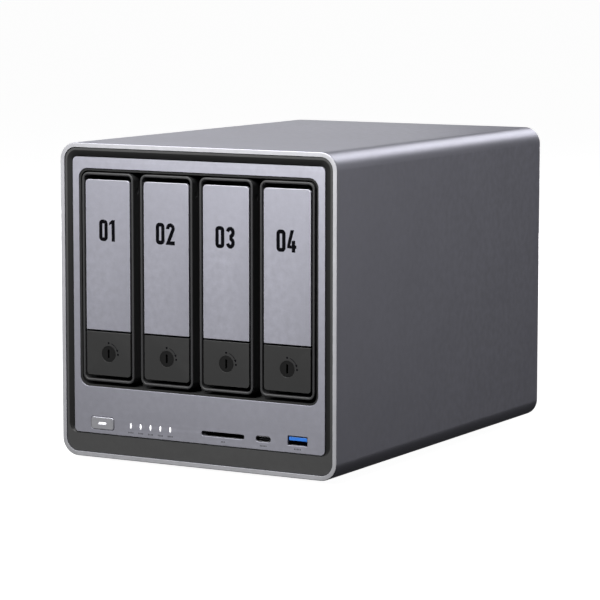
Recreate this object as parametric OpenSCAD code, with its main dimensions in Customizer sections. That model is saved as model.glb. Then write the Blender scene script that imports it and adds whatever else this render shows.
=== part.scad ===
// Desktop network storage enclosure: an aluminium sleeve with four lockable
// drive trays in front, a backplane and a mainboard inside, and a fan behind.
// +X is right seen from the front, the front faces -Y, and +Z is up.
// The origin is on the ground under the middle of the sleeve.

/* [Enclosure] */
// Width of the sleeve
shell_w = 178; // [177:0.5:180]
// Height of the sleeve above its feet
shell_h = 178; // [177:0.5:180]
// Depth of the sleeve
shell_d = 257; // [255:1:270]
// Outer corner radius of the sleeve
shell_r = 10; // [9:0.5:11]
// Wall thickness of the sleeve
wall = 2.6; // [2.4:0.1:2.8]
// How far the rubber feet stand below the sleeve
foot_h = 2; // [1:0.5:4]

/* [Front] */
// Width of the aluminium front panel
panel_w = 162.6; // [161:0.1:164]
// Height of the front panel's lower edge above the sleeve's underside
panel_low = 13.7; // [13:0.1:14.5]
// Height of the front panel's upper edge above the sleeve's underside
panel_high = 170.1; // [169.5:0.1:171]
// Thickness of the front panel
panel_t = 1.6; // [1.2:0.1:1.8]
// How far the front panel lies behind the sleeve's rim
panel_recess = 0.8; // [0.6:0.1:1]
// Power button width
button_w = 15; // [12:0.5:16]
// Power button height
button_h = 6.8; // [5:0.1:7]
// How far the power button can be pressed
button_travel = 0.8; // [0.4:0.1:1]

/* [Drive trays] */
// Distance from one tray's middle to the next
tray_pitch = 38.6; // [38.4:0.1:38.8]
// Width of a tray's front
tray_w = 34.2; // [34:0.1:34.4]
// Height of a tray's lower front edge above the sleeve's underside
tray_low = 43.4; // [43.2:0.1:43.8]
// Height of a tray's front
tray_h = 118.2; // [118:0.1:118.6]
// Width of the raised ring around a tray's front
ring_w = 1.5; // [1.4:0.1:1.6]
// Thickness of a 3.5-inch drive
drive_t = 26.1; // [25.4:0.1:26.1]
// Width of a 3.5-inch drive, which stands on its long edge
drive_w = 101.6; // [101.4:0.1:101.6]
// Height of the seam between the handle and the latch pad
handle_low = 72.9; // [72:0.1:74]

/* [Fan] */
// Side of the square fan frame
fan_size = 140; // [139:0.5:140]
// Distance between the fan's screw holes
fan_pitch = 124.5; // [123:0.5:125]
// Depth of the fan frame
fan_d = 25; // [24:1:26]
// Number of fan blades
blades = 7; // [5:1:9]

/* [Hidden] */
$fn = 64;
BAYS = 4;
gap = 0.05;

// Sleeve
front_y = -shell_d / 2;
back_y = shell_d / 2;
in_w = shell_w - 2 * wall;
in_h = shell_h - 2 * wall;
in_r = shell_r - wall;
mid_z = shell_h / 2;
roof_z = shell_h - wall;

// Front layers, counted back from the rim
bezel_y = front_y + 0.5;
panel_y = front_y + panel_recess;
panel_back = panel_y + panel_t;
ring_y = front_y + 0.6;
face_y = ring_y + 0.1;
face_t = 1.5;
chassis_y = front_y + 16.5;
bezel_flat = 2;
bezel_sink = 1.8;
panel_r = 2.75;

// Window that the trays go through
window_w = 154.1;
window_low = tray_low - 3;
window_high = tray_low + tray_h + 2;
window_r = 5.6;
lip_t = 1.1;

// Row of controls and sockets under the trays
io_z = 19.7;
io_low = 14.9;
io_high = 38.5;
io_w = 150;
io_board_y = chassis_y - 1.6;
button_x = -62.4;
lights_x = -43.45;
pipe_w = 1.1;
pipe_h = 3;
lights_pitch = 6.53;
lights_count = 5;
card_x = 16.9;
usb_c_x = 42.7;
usb_a_x = 64.3;
usb_a_z = 20.4;

// Cage and backplane
sheet = 1.2;
cage_x = in_w / 2 - in_r - 1.3;
shelf_z = 38.5;
cage_top_z = window_high + 1.4;
backplane_y = 45;
board_t = 1.6;
cage_back = backplane_y + board_t;

// Trays
tray_high = tray_low + tray_h;
tray_r = 4;
pocket_w = tray_w - 2 * ring_w;
pocket_low = tray_low + ring_w;
pocket_high = tray_high - ring_w;
pocket_back = chassis_y - 1.3;
block_back = chassis_y + 0.5;
drive_z = tray_low + tray_h / 2;
rail_t = 1.2;
rail_in = drive_w / 2 + 0.4;
runner_h = 2.4;
runner_w = 22.4;
tray_back = 36;
drive_back = tray_back + 1;
face_w = pocket_w - 2;
face_high = pocket_high - 2.5;
face_r = 2;
seam_r = 0.3;
pivot_y = face_y + 4.1;
pivot_z = pocket_high - 8.5;
pin_r = 1.3;
latch_low = pocket_low + 2.2;
latch_high = handle_low - 1.1;
lock_z = 59.5;
lock_r = 4.55;

// Rear
rear_t = 2;
rear_y = back_y - 2;
rear_in = rear_y - rear_t;
fan_z = roof_z - fan_size / 2 - 0.9;
fan_back = rear_in;
fan_front = fan_back - fan_d;
fan_bore_r = fan_size / 2 - 2.5;
blade_r = fan_bore_r - 2;
hub_r = 22;
rotor_back = fan_back - 5.5;
rotor_front = fan_front + 2;
inlet_x = -62;
inlet_z = 18;
filter_w = 142;
filter_low = fan_z - 70.3;
filter_high = fan_z + 69.7;
filter_bar = 4.5;
filter_t = 1.8;

// Mainboard
pcb_z = 14;
pcb_top = pcb_z + board_t;
pcb_x = cage_x - 0.2;
rear_strip_x = -16;
hdmi_x = 2;
lan_x = [18, 36];
usb_x = [53, 68.5];
reset_x = -10;

// Hatch in the underside
hatch_y = -29;
hatch_w = 104;
hatch_d = 102;
hatch_edge = 6;
hatch_t = 1.2;
hatch_low = wall - 2 * hatch_t;
screw_head = 0.7;

function tray_x(n) = (n - (BAYS + 1) / 2) * tray_pitch;
function tray_nodes(n) = [
    str("tray_", n, "_frame"),
    str("tray_", n, "_handle"),
    str("tray_", n, "_handle_face"),
    str("tray_", n, "_latch"),
    str("tray_", n, "_lock")
];

// ---- Helpers -----------------------------------------------------------

// Heights are counted from the sleeve's underside, above the feet.
module lift() {
    translate([0, 0, foot_h]) children();
}

// Flat rectangle with round corners, centred on the origin.
module rounded(w, h, r) {
    square([w - 2 * r, h], center = true);
    square([w, h - 2 * r], center = true);
    for (x = [-1, 1], y = [-1, 1])
        translate([x * (w / 2 - r), y * (h / 2 - r)]) circle(r);
}

// Upright plate: a round-cornered rectangle in X and Z, from y0 back to y1.
module plate(w, z0, z1, y0, y1, r, x = 0) {
    translate([x, y1, (z0 + z1) / 2])
        rotate([90, 0, 0])
            linear_extrude(y1 - y0) rounded(w, z1 - z0, r);
}

// Box given by its lowest and highest corners.
module block(low, high) {
    translate(low) cube(high - low);
}

// Round bar along Y.
module bar_y(x, z, y0, y1, r) {
    translate([x, y1, z]) rotate([90, 0, 0]) cylinder(h = y1 - y0, r = r);
}

// Round bar along X.
module bar_x(y, z, x0, x1, r) {
    translate([x0, y, z]) rotate([0, 90, 0]) cylinder(h = x1 - x0, r = r);
}

module at_tray(n) {
    translate([tray_x(n), 0, 0]) children();
}

// ---- Sleeve, hatch and feet --------------------------------------------

module hatch_corners() {
    for (x = [-1, 1], y = [-1, 1])
        translate([x * (hatch_w / 2 + 3), hatch_y + y * (hatch_d / 2 + 3), 0]) children();
}

module outer_shell() {
    color("silver") lift() difference() {
        plate(shell_w, 0, shell_h, front_y, back_y, shell_r);
        plate(in_w, wall, roof_z, front_y - 1, back_y + 1, in_r);
        translate([0, hatch_y, -1])
            linear_extrude(wall + 2) rounded(hatch_w, hatch_d, 3);
        translate([0, hatch_y, -1])
            linear_extrude(1 + wall - hatch_t)
                rounded(hatch_w + 2 * hatch_edge, hatch_d + 2 * hatch_edge, 4);
        hatch_corners() translate([0, 0, -1]) cylinder(h = wall + 2, r = 1.25);
    }
}

module bottom_hatch() {
    slot_count = 11;
    slot_step = 8;
    color("dimgray") lift() difference() {
        translate([0, hatch_y, hatch_low])
            linear_extrude(hatch_t)
                rounded(hatch_w + 2 * hatch_edge - 0.3, hatch_d + 2 * hatch_edge - 0.3, 3.85);
        for (i = [0:slot_count - 1])
            translate([(i - (slot_count - 1) / 2) * slot_step, hatch_y, 0])
                linear_extrude(wall) rounded(3, 60, 1.4);
        hatch_corners() cylinder(h = wall, r = 1.3);
        hatch_corners() cylinder(h = hatch_low + screw_head, r = 2.4);
    }
}

module hatch_screws() {
    color("gainsboro") lift() hatch_corners() {
        translate([0, 0, hatch_low]) cylinder(h = screw_head, r = 2.3);
        translate([0, 0, hatch_low]) cylinder(h = wall - hatch_low, r = 1.2);
    }
}

module feet() {
    foot_r = 10;
    color("black") lift()
        for (x = [-1, 1], y = [-1, 1])
            translate([x * 62, y * 100, -foot_h]) cylinder(h = foot_h, r = foot_r);
}

// ---- Front -------------------------------------------------------------

// Plastic frame between the rim and the panel. Its face is flat at the rim
// and slopes down to the panel's edge.
module front_bezel() {
    w = in_w - 2 * gap;
    h = in_h - 2 * gap;
    slope_w = w - 2 * bezel_flat;
    slope_low = panel_low - 0.6;
    slope_high = roof_z - gap - bezel_flat;
    color("dimgray") lift() difference() {
        plate(w, mid_z - h / 2, mid_z + h / 2, bezel_y, chassis_y, in_r - gap);
        hull() {
            plate(slope_w, slope_low, slope_high, bezel_y - 1, bezel_y, in_r - bezel_flat, $fn = 32);
            plate(panel_w + 0.9, panel_low - 0.45, panel_high + 0.45,
                bezel_y, bezel_y + bezel_sink, panel_r + 0.45, $fn = 32);
        }
        plate(panel_w + 2 * gap, panel_low - gap, panel_high + gap,
            bezel_y, panel_back, panel_r + gap);
        plate(window_w, window_low, window_high, bezel_y, chassis_y + 1, window_r);
        block([-io_w / 2, bezel_y, io_low], [io_w / 2, chassis_y + 1, io_high]);
    }
}

module front_panel() {
    color("silver") lift() difference() {
        plate(panel_w, panel_low, panel_high, panel_y, panel_back, panel_r);
        plate(window_w, window_low, window_high, panel_y - 1, panel_back + 1, window_r);
        plate(button_w + 0.4, io_z - button_h / 2 - 0.2, io_z + button_h / 2 + 0.2,
            panel_y - 1, panel_back + 1, 1.7, button_x);
        status_light_shapes(0.05, panel_y - 1, panel_back + 1);
        plate(27.5, io_z - 1.45, io_z + 1.25, panel_y - 1, panel_back + 1, 1.3, card_x);
        plate(9.4, io_z - 1.65, io_z + 1.65, panel_y - 1, panel_back + 1, 1.6, usb_c_x);
        plate(12.25, usb_a_z - 2.65, usb_a_z + 2.65, panel_y - 1, panel_back + 1, 0.4, usb_a_x);
    }
}

// Five upright light pipes, grown by the given margin.
module status_light_shapes(margin, y0, y1) {
    for (i = [0:lights_count - 1])
        plate(pipe_w + 2 * margin, io_z - pipe_h / 2 - margin, io_z + pipe_h / 2 + margin,
            y0, y1, 0.5 + margin, lights_x + i * lights_pitch);
}

module status_lights() {
    color("white") lift() status_light_shapes(0, panel_y - 0.1, io_board_y);
}

// Plastic lip inside the panel's window, with posts between the trays.
module bay_surround() {
    post_w = 2.4;
    post_y = front_y + 8;
    color("dimgray") lift() {
        difference() {
            plate(window_w - 2 * gap, window_low + gap, window_high - gap,
                panel_y + 0.5, chassis_y, window_r - gap);
            plate(window_w - 2 * lip_t, window_low + lip_t, window_high - lip_t,
                panel_y, chassis_y + 1, window_r - lip_t);
        }
        for (i = [1:BAYS - 1])
            translate([(i - BAYS / 2) * tray_pitch, 0, 0])
                block([-post_w / 2, post_y, window_low + lip_t / 2],
                    [post_w / 2, chassis_y, window_high - lip_t / 2]);
    }
}

module front_io_board() {
    color("darkgreen") lift() {
        block([-io_w / 2 + 1, io_board_y, io_low], [io_w / 2 - 1, chassis_y, io_high - 0.2]);
        block([button_x - 3, io_board_y - 0.8, io_z - 3], [button_x + 3, io_board_y, io_z + 3]);
    }
}

module sd_card_socket() {
    low = io_z - 2.3;
    high = io_z + 2.1;
    color("silver") lift() difference() {
        block([card_x - 14.6, panel_back + gap, low], [card_x + 14.6, io_board_y, high]);
        block([card_x - 12.2, panel_back, low + 1], [card_x + 12.2, io_board_y - 1, high - 1]);
    }
}

module usb_c_port() {
    color("silver") lift() {
        difference() {
            plate(9.1, io_z - 1.5, io_z + 1.5, panel_y + 0.2, io_board_y, 1.45, usb_c_x);
            plate(8.4, io_z - 1.15, io_z + 1.15, panel_y, io_board_y - 2, 1.1, usb_c_x);
        }
        block([usb_c_x - 3.3, panel_back, io_z - 0.35], [usb_c_x + 3.3, io_board_y - 1, io_z + 0.35]);
    }
}

module usb_a_shell() {
    color("silver") lift() difference() {
        block([usb_a_x - 6.6, panel_back + gap, usb_a_z - 2.95],
            [usb_a_x + 6.6, io_board_y, usb_a_z + 2.95]);
        block([usb_a_x - 6.2, panel_back, usb_a_z - 2.55],
            [usb_a_x + 6.2, io_board_y - 1, usb_a_z + 2.55]);
    }
}

module usb_a_tongue() {
    color("dodgerblue") lift() {
        block([usb_a_x - 5.6, panel_y + 0.6, usb_a_z], [usb_a_x + 5.6, io_board_y - 1, usb_a_z + 2]);
        block([usb_a_x - 6.2, io_board_y - 3, usb_a_z - 2.55],
            [usb_a_x + 6.2, io_board_y - 1, usb_a_z + 2.55]);
    }
}

// ---- Power button ------------------------------------------------------

light_w = 5;
light_h = 1;

module power_button() {
    cap_y = panel_y - 0.4;
    flange_y = panel_back + gap;
    flange_t = 1;
    color("silver") lift() difference() {
        union() {
            plate(button_w, io_z - button_h / 2, io_z + button_h / 2,
                cap_y, flange_y + flange_t, 1.5, button_x);
            plate(button_w + 2, io_z - button_h / 2 - 1, io_z + button_h / 2 + 1,
                flange_y, flange_y + flange_t, 1, button_x);
            bar_y(button_x, io_z, flange_y, io_board_y - 0.8 - button_travel - 0.1, 2);
        }
        plate(light_w + 2 * gap, io_z - light_h / 2 - gap, io_z + light_h / 2 + gap,
            cap_y - 1, panel_back, 0.5, button_x);
    }
}

module power_button_light() {
    color("white") lift()
        plate(light_w, io_z - light_h / 2, io_z + light_h / 2, panel_y - 0.4, panel_back, 0.45, button_x);
}

// ---- Cage, guides and backplane ----------------------------------------

// Bent steel sheet: two tall sides that stand on the sleeve's floor, a shelf
// under the trays and a roof over them.
module drive_cage() {
    flange_w = 8;
    slot_count = 5;
    slot_step = 28;
    color("lightgray") lift() difference() {
        union() {
            for (s = [-1, 1]) {
                block([min(s * cage_x, s * (cage_x + sheet)), chassis_y, wall],
                    [max(s * cage_x, s * (cage_x + sheet)), rear_in, cage_top_z + sheet]);
                block([min(s * cage_x, s * (cage_x - flange_w)), chassis_y, wall],
                    [max(s * cage_x, s * (cage_x - flange_w)), rear_in, wall + sheet]);
            }
            block([-cage_x, chassis_y, shelf_z], [cage_x, cage_back, shelf_z + sheet]);
            block([-cage_x, chassis_y, cage_top_z], [cage_x, cage_back, cage_top_z + sheet]);
        }
        for (i = [0:slot_count - 1])
            translate([0, chassis_y + 22 + i * slot_step, drive_z])
                rotate([90, 0, 90])
                    translate([0, 0, -cage_x - 2 * sheet])
                        linear_extrude(2 * cage_x + 4 * sheet) rounded(14, 88, 6.9);
    }
}

// Channels that the trays' runners slide in, four below and four above.
module guide_channel(base_z, tip_z) {
    lip_in = runner_w / 2 + 0.4;
    lip_out = lip_in + 1.4;
    floor_z = drive_z - rail_in - rail_t - runner_h - 0.4;
    block([-lip_out, chassis_y + 0.6, base_z], [lip_out, tray_back - 2, floor_z]);
    for (s = [-1, 1])
        block([min(s * lip_in, s * lip_out), chassis_y + 0.6, base_z],
            [max(s * lip_in, s * lip_out), tray_back - 2, tip_z]);
}

module bay_guides() {
    tip_z = drive_z - rail_in - rail_t - 0.4;
    color("dimgray") lift()
        for (n = [1:BAYS]) at_tray(n) {
            guide_channel(shelf_z + sheet, tip_z);
            translate([0, 0, drive_z]) mirror([0, 0, 1]) translate([0, 0, -drive_z])
                guide_channel(2 * drive_z - cage_top_z, tip_z);
        }
}

module backplane_board() {
    vent_step = (cage_x - 5) / 2;
    color("darkgreen") lift() difference() {
        block([-cage_x + 0.2, backplane_y, shelf_z + sheet], [cage_x - 0.2, cage_back, cage_top_z]);
        for (n = [1:BAYS]) at_tray(n)
            plate(18, drive_z - 4, drive_z + 46, backplane_y - 1, cage_back + 1, 3);
        for (i = [0:BAYS])
            plate(8, drive_z - 46, drive_z + 46, backplane_y - 1, cage_back + 1, 3,
                (i - BAYS / 2) * vent_step);
    }
}

module sata_connectors() {
    color("black") lift()
        for (n = [1:BAYS]) at_tray(n) difference() {
            block([-2.5, drive_back + 1.5, drive_z - 44], [2.5, backplane_y, drive_z - 8]);
            block([-1.2, drive_back, drive_z - 42.5], [1.2, backplane_y - 2, drive_z - 9.5]);
        }
}

// ---- Mainboard and what is on it ---------------------------------------

module mainboard() {
    color("darkgreen") lift() translate([0, 0, pcb_z]) linear_extrude(board_t)
        polygon([
            [-pcb_x + 9, chassis_y + 4],
            [pcb_x, chassis_y + 4],
            [pcb_x, rear_in - 1],
            [rear_strip_x, rear_in - 1],
            [rear_strip_x, 2],
            [-pcb_x + 9, 2]
        ]);
}

module board_standoffs() {
    spots = [[-62, -102], [64, -102], [-62, -6], [64, 28], [64, 108], [-10, 108]];
    color("goldenrod") lift()
        for (p = spots) translate([p.x, p.y, wall]) cylinder(h = pcb_z - wall, r = 2.6);
}

module cpu_heatsink() {
    fin_count = 13;
    fin_step = 4;
    color("silver") lift() {
        block([8, -60, pcb_top], [56, -12, pcb_top + 2]);
        block([6, -64, pcb_top + 2], [58, -8, pcb_top + 5]);
        for (i = [0:fin_count - 1])
            block([7 + i * fin_step, -64, pcb_top + 4.9], [8.2 + i * fin_step, -8, shelf_z - 1.6]);
    }
}

module memory_module() {
    color("darkgreen") lift() {
        block([-44, -64, pcb_z - 5.2], [-38, -2, pcb_z]);
        block([-38.5, -62, pcb_z - 3.6], [-12, -4, pcb_z - 2.4]);
        for (i = [0:3])
            block([-34, -58 + i * 14, pcb_z - 4.6], [-16, -48 + i * 14, pcb_z - 3.5]);
    }
}

module m2_connectors() {
    color("black") lift()
        for (y = [-68, -38]) difference() {
            block([6, y - 11, pcb_z - 4], [14, y + 11, pcb_z]);
            block([10, y - 10, pcb_z - 3], [15, y + 10, pcb_z - 2]);
        }
}

module power_supply() {
    low = [-pcb_x + 0.5, 8, wall + sheet + 0.2];
    high = [rear_strip_x - 1.5, rear_in - 22, 33];
    slot_count = 8;
    color("lightgray") lift() difference() {
        block(low, high);
        block(low + [1, 1, 1], high - [1, 1, 1]);
        for (i = [0:slot_count - 1])
            block([low.x + 8 + i * 5.5, high.y - 2, 9], [low.x + 11 + i * 5.5, high.y + 1, 27]);
    }
}

// ---- Rear panel and its sockets ----------------------------------------

module fan_corners() {
    for (x = [-1, 1], z = [-1, 1])
        translate([x * fan_pitch / 2, 0, fan_z + z * fan_pitch / 2]) children();
}

// Ring slots of the fan grille, cut by four spokes.
module grille_slots() {
    first_r = 18;
    slot_w = 5;
    step = 6.8;
    rings = 7;
    difference() {
        for (i = [0:rings - 1]) difference() {
            circle(first_r + i * step + slot_w);
            circle(first_r + i * step);
        }
        for (a = [45, 135]) rotate(a) square([2 * fan_size, 3], center = true);
    }
}

module rear_screw_spots() {
    for (x = [-1, 1], z = [9, shell_h - 9])
        translate([x * (in_w / 2 - 4.2), 0, z]) children();
}

module rear_panel() {
    color("dimgray") lift() difference() {
        plate(in_w - 2 * gap, wall + gap, roof_z - gap, rear_in, rear_y, in_r - gap);
        translate([0, rear_y + 1, fan_z]) rotate([90, 0, 0])
            linear_extrude(rear_t + 2) grille_slots();
        fan_corners() bar_y(0, 0, rear_in - 1, rear_y + 1, 2.2);
        fan_corners() bar_y(0, 0, rear_y - 1.4, rear_y + 1, 3.7);
        rear_screw_spots() bar_y(0, 0, rear_in - 1, rear_y + 1, 1.6);
        block([inlet_x - 13.7, rear_in - 1, inlet_z - 9.9], [inlet_x + 13.7, rear_y + 1, inlet_z + 9.9]);
        block([hdmi_x - 7.7, rear_in - 1, pcb_top - 0.1], [hdmi_x + 7.7, rear_y + 1, pcb_top + 6.3]);
        for (x = lan_x)
            block([x - 8.2, rear_in - 1, pcb_top - 0.1], [x + 8.2, rear_y + 1, pcb_top + 13.7]);
        for (x = usb_x)
            block([x - 6.7, rear_in - 1, pcb_top - 0.1], [x + 6.7, rear_y + 1, pcb_top + 6.1]);
        bar_y(reset_x, pcb_top + 3, rear_in - 1, rear_y + 1, 1);
        plate(7, 22, 25, rear_in - 1, rear_y + 1, 0.9, reset_x - 16);
    }
}

module rear_screws() {
    color("gainsboro") lift() rear_screw_spots() {
        bar_y(0, 0, rear_y, rear_y + 1.5, 2.7);
        bar_y(0, 0, rear_in - 5, rear_y + 0.1, 1.5);
    }
}

module power_inlet() {
    body_low = rear_in - 18;
    color("black") lift() {
        difference() {
            union() {
                block([inlet_x - 13.5, body_low, inlet_z - 9.7], [inlet_x + 13.5, rear_y, inlet_z + 9.7]);
                plate(31, inlet_z - 11.5, inlet_z + 11.5, rear_y, rear_y + 1.6, 2, inlet_x);
            }
            translate([inlet_x, rear_y + 3, inlet_z]) rotate([90, 0, 0]) linear_extrude(18)
                polygon([[-12, -8], [12, -8], [12, 4], [8, 8], [-8, 8], [-12, 4]]);
        }
        for (p = [[-7, -2], [0, 2], [7, -2]])
            block([inlet_x + p.x - 1, rear_y - 15.5, inlet_z + p.y - 2],
                [inlet_x + p.x + 1, rear_y - 3, inlet_z + p.y + 2]);
    }
}

module hdmi_port() {
    low = pcb_top;
    color("silver") lift() {
        difference() {
            block([hdmi_x - 7.5, rear_y - 12, low], [hdmi_x + 7.5, rear_y + 0.2, low + 6.2]);
            block([hdmi_x - 7, rear_y - 10, low + 0.8], [hdmi_x + 7, rear_y + 1, low + 5.4]);
        }
        block([hdmi_x - 5.5, rear_y - 11, low + 2.8], [hdmi_x + 5.5, rear_y - 2, low + 3.9]);
    }
}

module lan_ports() {
    low = pcb_top;
    color("silver") lift()
        for (x = lan_x) difference() {
            block([x - 8, rear_y - 21, low], [x + 8, rear_y + 0.2, low + 13.5]);
            block([x - 5.9, rear_y - 14, low + 2], [x + 5.9, rear_y + 1, low + 9.4]);
            block([x - 3, rear_y - 14, low + 9.3], [x + 3, rear_y + 1, low + 11.6]);
        }
}

module rear_usb_ports() {
    low = pcb_top;
    color("silver") lift()
        for (x = usb_x) {
            difference() {
                block([x - 6.5, rear_y - 14, low], [x + 6.5, rear_y + 0.2, low + 5.9]);
                block([x - 6.1, rear_y - 12, low + 0.4], [x + 6.1, rear_y + 1, low + 5.5]);
            }
            block([x - 5.6, rear_y - 13, low + 2.8], [x + 5.6, rear_y - 1, low + 4.7]);
        }
}

module reset_switch() {
    z = pcb_top + 3;
    color("black") lift() difference() {
        block([reset_x - 3, rear_in - 8, pcb_top], [reset_x + 3, rear_in - 3, pcb_top + 6]);
        bar_y(reset_x, z, rear_in - 5.5, rear_in - 2, 1.25);
    }
}

module reset_button() {
    color("gray") lift() bar_y(reset_x, pcb_top + 3, rear_in - 4.9, rear_in - 0.2, 1.2);
}

// ---- Fan ---------------------------------------------------------------

// Square frame with a round duct, and the motor's seat held on four struts.
module fan_frame() {
    seat_r = 19;
    strut_y = fan_back - 4;
    color("dimgray") lift() {
        difference() {
            plate(fan_size, fan_z - fan_size / 2, fan_z + fan_size / 2, fan_front, fan_back, 7);
            bar_y(0, fan_z, fan_front - 1, fan_back + 1, fan_bore_r);
            fan_corners() bar_y(0, 0, fan_front - 1, fan_back + 1, 2.15);
        }
        bar_y(0, fan_z, strut_y, fan_back, seat_r);
        bar_y(0, fan_z, rotor_front + 6, strut_y + 0.1, 2);
        for (a = [45, 135, 225, 315])
            translate([0, 0, fan_z]) rotate([0, a, 0])
                block([seat_r - 1, strut_y, -2], [fan_bore_r + 1, fan_back, 2]);
    }
}

module fan_screws() {
    color("gainsboro") lift() fan_corners() {
        bar_y(0, 0, rear_y - 1.4, rear_y, 3.6);
        bar_y(0, 0, rear_in - 9, rear_y - 0.1, 2);
    }
}

// Hub with tilted blades, turning on the seat's pin.
module fan_rotor() {
    blade_tilt = 38;
    blade_t = 1.8;
    color("black") lift() translate([0, 0, fan_z]) difference() {
        union() {
            bar_y(0, 0, rotor_front, rotor_back, hub_r);
            intersection() {
                difference() {
                    bar_y(0, 0, rotor_front + 1, rotor_back - 1, blade_r);
                    bar_y(0, 0, rotor_front, rotor_back, hub_r - 1);
                }
                for (i = [0:blades - 1])
                    rotate([0, i * 360 / blades, 0])
                        translate([0, (rotor_front + rotor_back) / 2, 0])
                            rotate([0, 0, blade_tilt])
                                block([-22, -blade_t / 2, hub_r - 3], [22, blade_t / 2, blade_r + 4]);
            }
        }
        bar_y(0, 0, rotor_front + 5, rotor_back + 1, 2.05);
    }
}

// ---- Dust filter -------------------------------------------------------

magnet_l = 18;

module magnet_spots(margin) {
    for (x = [-1, 1], z = [-1, 1])
        translate([x * (filter_w - filter_bar) / 2, 0, fan_z + z * 30])
            block([-1.5 - margin, rear_y - margin, -magnet_l / 2 - margin],
                [1.5 + margin, rear_y + 1.2 + margin / 2, magnet_l / 2 + margin]);
}

module filter_frame() {
    color("dimgray") lift() difference() {
        plate(filter_w, filter_low, filter_high, rear_y, rear_y + filter_t, 5);
        plate(filter_w - 2 * filter_bar, filter_low + filter_bar, filter_high - filter_bar,
            rear_y - 1, rear_y + filter_t + 1, 20);
        plate(filter_w - filter_bar, filter_low + filter_bar / 2, filter_high - filter_bar / 2,
            rear_y + 1.2, rear_y + filter_t + 1, 18);
        magnet_spots(0.05);
    }
}

module filter_mesh() {
    color("black") lift()
        plate(filter_w - filter_bar - 0.1, filter_low + filter_bar / 2 + 0.05,
            filter_high - filter_bar / 2 - 0.05, rear_y + 1.2, rear_y + 1.6, 17.9);
}

module filter_magnets() {
    color("gray") lift() magnet_spots(0);
}

// ---- Drive tray --------------------------------------------------------

// Outline of the carrier behind the tray's front, seen along Y: one side wall
// for the drive's underside, with a rail and a narrow runner above and below.
module carrier_outline() {
    side_in = drive_t / 2 + 0.35;
    side_out = side_in + 1.6;
    rail = rail_in + rail_t;
    translate([side_in, -rail]) square([side_out - side_in, 2 * rail]);
    for (s = [0, 1]) mirror([0, s]) {
        translate([-side_in, rail_in]) square([side_out + side_in, rail_t]);
        translate([-runner_w / 2, rail_in + 0.1]) square([runner_w, rail_t + runner_h - 0.1]);
    }
}

// Screw holes for the underside of a 3.5-inch drive.
drive_hole_z = 95.25;
drive_hole_y = 44.45;
drive_hole_mid = drive_back - 41.28 - drive_hole_y / 2;

module tray_frame(n) {
    window_count = 5;
    window_step = 27;
    color("dimgray") lift() at_tray(n) difference() {
        union() {
            plate(tray_w, tray_low, tray_high, ring_y, block_back, tray_r);
            translate([0, tray_back, drive_z]) rotate([90, 0, 0])
                linear_extrude(tray_back - block_back + 0.5) carrier_outline();
        }
        plate(pocket_w, pocket_low, pocket_high, ring_y - 1, pocket_back, tray_r - ring_w);
        bar_x(pivot_y, pivot_z, -tray_w / 2 - 1, tray_w / 2 + 1, pin_r + gap);
        for (i = [0:window_count - 1])
            translate([drive_t / 2, block_back + 18 + i * window_step, drive_z])
                rotate([90, 0, 90]) linear_extrude(4) rounded(20, 78, 3);
        for (y = [-1, 1], z = [-1, 1])
            bar_x(drive_hole_mid + y * drive_hole_y / 2, drive_z + z * drive_hole_z / 2,
                drive_t / 2, drive_t / 2 + 4, 1.8);
    }
}

// Lever behind the handle's face, with the two pins that it turns on.
module tray_handle(n) {
    lever_y = face_y + face_t;
    lever_w = face_w - 0.7;
    color("dimgray") lift() at_tray(n) difference() {
        union() {
            block([-lever_w / 2, lever_y, handle_low + 1], [lever_w / 2, lever_y + 2, face_high - 1]);
            for (s = [-1, 1])
                block([min(s * lever_w / 2, s * (lever_w / 2 - 2)), lever_y, handle_low + 1],
                    [max(s * lever_w / 2, s * (lever_w / 2 - 2)), lever_y + 5, pivot_z - 4]);
            bar_x(pivot_y, pivot_z, -lever_w / 2, lever_w / 2, 2.4);
            bar_x(pivot_y, pivot_z, -pocket_w / 2 - 1.3, pocket_w / 2 + 1.3, pin_r);
        }
        plate(lever_w - 9, handle_low + 12, pivot_z - 12, lever_y - 1, lever_y + 3, 2);
    }
}

// Plate that fills the pocket's width, with its own corner radius at each end.
module pocket_plate(z0, z1, y0, y1, r_low, r_high) {
    mid = (z0 + z1) / 2;
    plate(face_w, z0, mid + 2, y0, y1, r_low);
    plate(face_w, mid - 2, z1, y0, y1, r_high);
}

module tray_handle_face(n) {
    color("silver") lift() at_tray(n)
        pocket_plate(handle_low, face_high, face_y, face_y + face_t, seam_r, face_r);
}

module tray_latch(n) {
    pad_t = 2.5;
    skirt = 1.5;
    boss_r = 6.5;
    color("dimgray") lift() at_tray(n) difference() {
        union() {
            pocket_plate(latch_low, latch_high, face_y, face_y + pad_t, face_r, seam_r);
            difference() {
                plate(face_w - 2, latch_low + 1, latch_high - 1, face_y, face_y + 7, 0.6);
                plate(face_w - 2 - 2 * skirt, latch_low + 1 + skirt, latch_high - 1 - skirt,
                    face_y, face_y + 8, 0.4);
            }
            bar_y(0, lock_z, face_y, face_y + 8, boss_r);
        }
        bar_y(0, lock_z, face_y - 1, face_y + 9, lock_r + gap);
    }
}

// Lock barrel with a key slot in front and a turning cam behind.
module tray_lock(n) {
    color("gray") lift() at_tray(n) difference() {
        union() {
            bar_y(0, lock_z, face_y, face_y + 9.5, lock_r);
            block([-2, face_y + 8.1, lock_z - 2], [2, face_y + 9.5, lock_z + 8]);
        }
        block([-0.6, face_y - 1, lock_z - 2.5], [0.6, face_y + 3, lock_z + 2.5]);
    }
}

// ---- Assembly ----------------------------------------------------------

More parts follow.
